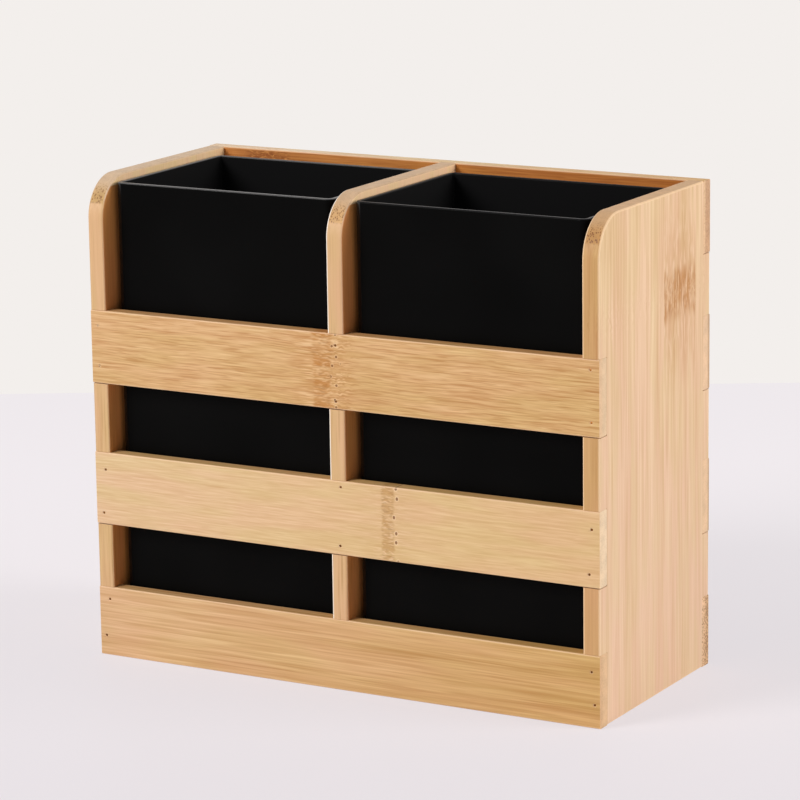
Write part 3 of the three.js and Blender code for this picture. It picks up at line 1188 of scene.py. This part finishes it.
@dataclass
class Studio:
    """A plain pale table in soft light, before a plain pale background."""

    camera: ViewCamera  # the camera that the far edge of the table squares up to
    # Name, place, width, power and colour of each.
    lamps: tuple[tuple[str, Point, float, float, str], ...] = (
        ("front_lamp", (-1.25, -1.9, 1.5), 1.2, 52.0, "#FFFCF8"),
        ("side_lamp", (2.2, 0.55, 0.9), 1.3, 44.0, "#FFFBF5"),
    )
    lamp_aim: Point = (0.0, 0.0, 0.1)  # the point that the lamps shine at
    floor_near: str = "#EAE5EA"  # the colour of the table in front
    floor_far: str = "#F6F1F5"  # the colour of the table at the back
    # Where the near colour starts to turn into the far one and where it has, in millimetres.
    floor_fade: Pair = (-250.0, 350.0)
    background: str = "#F3EFEC"  # the colour behind the table
    far_edge: float = 0.55  # how far behind the camera's target the table ends
    reach: float = 8.0  # the width and the depth of the table
    drop: float = 0.02 * MM  # how far the table lies under the organizer, so that no faces coincide
    sky: float = 0.25  # the strength of the even light
    plainness: float = 0.7  # how much of the table's own colour the camera sees in any light

    def build(self) -> None:
        """Makes the world, the floor and the lamps."""
        self._world()
        self._floor()
        for name, spot, size, power, colour in self.lamps:
            data = bpy.data.lights.new(name, "AREA")
            data.shape, data.size, data.energy = "DISK", size, power
            data.color = linear_colour(colour)[:3]
            lamp = bpy.data.objects.new(name, data)
            lamp.location = spot
            beam = Vector(self.lamp_aim) - Vector(spot)
            lamp.rotation_euler = beam.to_track_quat("-Z", "Y").to_euler()
            bpy.context.scene.collection.objects.link(lamp)

    def _world(self) -> None:
        """Lights the scene evenly and shows the plain background to the camera and to gloss."""
        world = bpy.data.worlds.new("plain_surroundings")
        world.use_nodes = True
        world.node_tree.nodes.clear()
        add = partial(add_node, world.node_tree)
        light = add("Background", {"Color": "#FFFFFF", "Strength": self.sky})
        shown = add("Background", {"Color": self.background, "Strength": 1.0})
        path = add("LightPath").outputs
        seen = path["Is Camera Ray"]
        for ray in ("Is Glossy Ray", "Is Transmission Ray"):
            seen = add("Math", (seen, path[ray]), "MAXIMUM")
        add("OutputWorld", (add("MixShader", (seen, light, shown)),))
        bpy.context.scene.world = world

    def _floor(self) -> None:
        """Lays the table top, in a matt laminate that looks even and is painted paler towards its far edge
        as painted light.
        """
        target, angle = self.camera.target, math.radians(self.camera.azimuth)
        turn = Matrix.Rotation(angle, 4, "Z")
        spot = Matrix.Translation((target[0], target[1], -self.drop))
        back = Matrix.Translation((0, self.far_edge - self.reach / 2, 0))
        spread = Matrix.Diagonal((self.reach, self.reach, 1, 1))
        mesh = bmesh.new()
        lay = spot @ turn @ back @ spread
        bmesh.ops.create_grid(mesh, x_segments=4, y_segments=4, size=0.5, matrix=lay)
        floor = into_object("table_top", mesh)
        material, add, _, in_mm = new_material("matt_white_laminate")
        turned = add("Mapping", {"Vector": in_mm, "Rotation": (0, 0, -angle)}, vector_type="POINT")
        depth = add("SeparateXYZ", (turned,)).outputs["Y"]
        # The table is painted paler towards its far edge: a painted light falloff.
        level = add("MapRange", (depth, *self.floor_fade), **SMOOTH)
        tone = add("Mix", (level, self.floor_near, self.floor_far), **COLOUR)
        matt = add("BsdfPrincipled", {"Base Color": tone, "Roughness": 0.5, "Specular IOR Level": 0.2})
        glow = add("Emission", {"Color": tone, "Strength": 1.0})
        to_camera = add("LightPath").outputs["Is Camera Ray"]
        plain = add("Math", (to_camera, self.plainness), "MULTIPLY")
        add("OutputMaterial", (add("MixShader", (plain, matt, glow)),))
        floor.data.materials.append(material)


# -------- the organizer

# What the boards and the knuckles of one kind share.
front_slat = partial(Bamboo, grain=Grain.SLAT, skin_depth=(43.0, 47.5), inside_turn=1)
back_slat = partial(Bamboo, grain=Grain.SLAT, inside_turn=-1)
panel = partial(
    Bamboo, grain=Grain.UPRIGHT, speckle=0.12, inside_stop=187.0, strip_width=28.0, strip_start=6.8
)
panel_knuckle = partial(Knuckle, blocks=0.2, stroke_length=7.0, fan=0.5, soft=3.5, ragged=3.5, swirl=0.8)


@dataclass
class Organizer:
    """The whole organizer. Each board, bin and brad has its finish, the slats from the bottom up."""

    front_slats: tuple[Bamboo, ...] = (
        front_slat(
            "front_slat_low", tone="#DDB589", dark="#C59663", light="#F2D0A6",
            drift=("#FFFEFD", "#F1EACB"), patches=0.4, edge="#D8AC7B", end="#CFAD87", low_end="#D8B389",
            skin="#CAA47D", speckle=0.15, streak_length=75.0, streak_width=1.2, contrast=0.8, broad=0.5,
            dashes=0.7, wander=0.3, seed=1.0,
        ),
        front_slat(
            "front_slat_middle", tone="#E3C097", dark="#D1A677", light="#F4D7B2",
            drift=("#FFFFFF", "#FBF8EA"), edge="#D6AC78", end="#DBC3A4", low_end="#E2C29B",
            skin="#DAC1A0", speckle=0.12, knuckle_tone="#BF9154", streak_length=22.0, streak_width=0.8,
            contrast=0.55, broad=0.2, dashes=0.5, wander=0.4, seed=2.0,
            knuckles=(
                Knuckle(
                    18.8, 24.0, depth=0.65, blocks=0.2, soft=0.6, ragged=0.5, pores=(25.4,), pore_gap=5.8
                ),
            ),
        ),
        front_slat(
            "front_slat_high", tone="#D9AF7C", dark="#BC8750", light="#ECC898",
            drift=("#FFFFFF", "#FDFCF4"), patches=0.4, edge="#D2A26E", end="#D1B593", low_end="#DBB68C",
            skin="#D3B18C", speckle=0.1, knuckle_tone="#BC7E38", streak_length=24.0, streak_width=0.8,
            contrast=0.85, broad=0.2, wander=1.0, seed=3.0,
            knuckles=(
                Knuckle(
                    -10.0, -2.0, blocks=0.7, fan=0.8, wash=0.24, soft=0.8, ragged=1.0, swirl=0.9,
                    swirl_side=7.0, pores=(-0.2,),
                ),
            ),
        ),
    )
    back_slats: tuple[Bamboo, ...] = (
        back_slat(
            "back_slat_low", end="#D9B592", end_dot="#86603A", speckle=0.9, skin="#CCA47C",
            skin_depth=(41.5, 46.5), knuckles=(Knuckle(-65.5, -57.5, pores=(-60.0,)),), seed=4.0,
        ),
        back_slat(
            "back_slat_second", tone="#DAB082", end="#D7B693", skin="#A38264", skin_depth=(45.0, 48.0),
            speckle=0.1, streak_length=60.0, seed=5.0,
        ),
        back_slat(
            "back_slat_third", end="#D7B694", skin="#A98868", skin_depth=(44.5, 47.5), speckle=0.1,
            knuckles=(Knuckle(43.5, 52.0, pores=(49.0,)),), seed=6.0,
        ),
        # Its inside colour and its dark knuckle colour are painted shade on the face towards the bins.
        back_slat(
            "back_slat_top", drift=("#FFFFFF", "#E6D6AE"), edge="#F0D2B4", end="#D6B28C",
            skin="#B68E6C", skin_depth=(42.5, 44.0), inside="#D48A44", knuckle_tone="#8E5220", seed=7.0,
            knuckles=(
                Knuckle(
                    -92.0, -72.0, depth=0.6, strokes=1.0, stroke_length=2.4, soft=2.5,
                    across=(150.0, 190.3), swirl=1.2,
                ),
            ),
        ),
    )
    # The colours of their arrises are painted light: the paler ones a painted highlight, the left panel's
    # darker one painted shade.
    # Their inside colours are painted shade in the recess by the bins.
    uprights: tuple[Bamboo, ...] = (
        panel(
            "left_side_panel", tone="#E6C39B", light="#F4D6B0", edge="#D9B183", arris="#BC9C7A",
            arris_shares=(0.5, 0.0), end="#D7BA9B", end_dot="#82501C", slant="#C1995C",
            inside="#D28C50", inside_turn=1, contrast=0.6, calm=(0.0, 0.7), streak_length=70.0,
            streak_width=1.0, knuckle_tone="#AD7322", seed=8.0,
            knuckles=(
                panel_knuckle(
                    60.0, 76.0, depth=0.55, strokes=0.5, wash=0.2, reach=34.0, across=(-21.2, 6.8)
                ),
            ),
        ),
        panel(
            "center_divider", tone="#EFC9A2", light="#F8DAB8", edge="#DAB084", arris="#FFF6EA",
            arris_shares=(1.0, 0.0), end="#CFAE8C", end_dot="#82501C", slant="#CFA268",
            inside="#D28C50", contrast=0.55, calm=(0.0, 0.8), streak_length=70.0, streak_width=1.0,
            seed=9.0,
        ),
        panel(
            "right_side_panel", tone="#D6B698", dark="#C39A73", light="#E5CBAF",
            drift=("#FFFDFF", "#FBF8EE"), patches=0.45, edge="#CFA270", arris="#FFDFB6",
            arris_shares=(0.7, 0.5), end="#CDA57B", end_dot="#7A4616", slant="#BC8949",
            inside="#C88850", inside_turn=-1, contrast=0.8, calm=(0.5, 0.0), broad=0.8, dashes=0.6,
            streak_length=80.0, streak_width=1.5, strip_shift=0.02, knuckle_tone="#A86C1A", seed=10.0,
            knuckles=(panel_knuckle(144.0, 160.0, depth=0.7, wash=0.22, reach=38.0, across=(6.8, 34.5)),),
        ),
    )
    base: Bamboo = Bamboo("base_board", Grain.FLOOR_BOARD, tone="#D6AE80", seed=11.0)
    bins: tuple[MouldedPlastic, ...] = (
        MouldedPlastic("left_bin"),
        MouldedPlastic("right_bin", rim_tone="#101013", rim_gloss=0.05),
    )
    usual_wire: DrawnSteel = DrawnSteel()
    # The steel of the brads whose nodes start with these names.
    other_wires: tuple[tuple[str, DrawnSteel], ...] = (
        ("brad_front_3_left", DrawnSteel("bright_steel_wire", "#E8CBA4", "#C29C6E", 0.3)),
        ("brad_front_3_right", DrawnSteel("tanned_steel_wire", "#D0904E", "#B07434")),
    )

    def build(self) -> None:
        """Builds every piece of the organizer."""
        usual = self.usual_wire.material()
        others = {start: wire.material() for start, wire in self.other_wires}
        brads = [Brad(node) for node in sorted(frame["nodes"]) if node.startswith("brad_")]
        for brad in brads:
            # The last word of a brad's name says if it is the low or the high one.
            brad.build(others.get(brad.node.rsplit("_", 1)[0], usual))
        slats = [
            Slat(f"{side}_slat_{number}", finish, brads)
            for side, finishes in (("front", self.front_slats), ("back", self.back_slats))
            for number, finish in enumerate(finishes, 1)
        ]
        for slat in slats:
            slat.build()
        base = BaseBoard(self.base.name, self.base)
        for finish in self.uprights:
            Upright(finish.name, finish, brads).build(slats, base)
        base.build()
        for plastic in self.bins:
            Bin(plastic).build()


def main() -> None:
    """Builds the organizer, its stage and the camera."""
    logging.basicConfig(level=logging.INFO, format="%(name)s: %(message)s")
    bpy.context.scene.view_settings.view_transform = "Standard"
    camera = ViewCamera()
    camera.build()
    Studio(camera).build()
    Organizer().build()


if __name__ == "__main__":
    main()
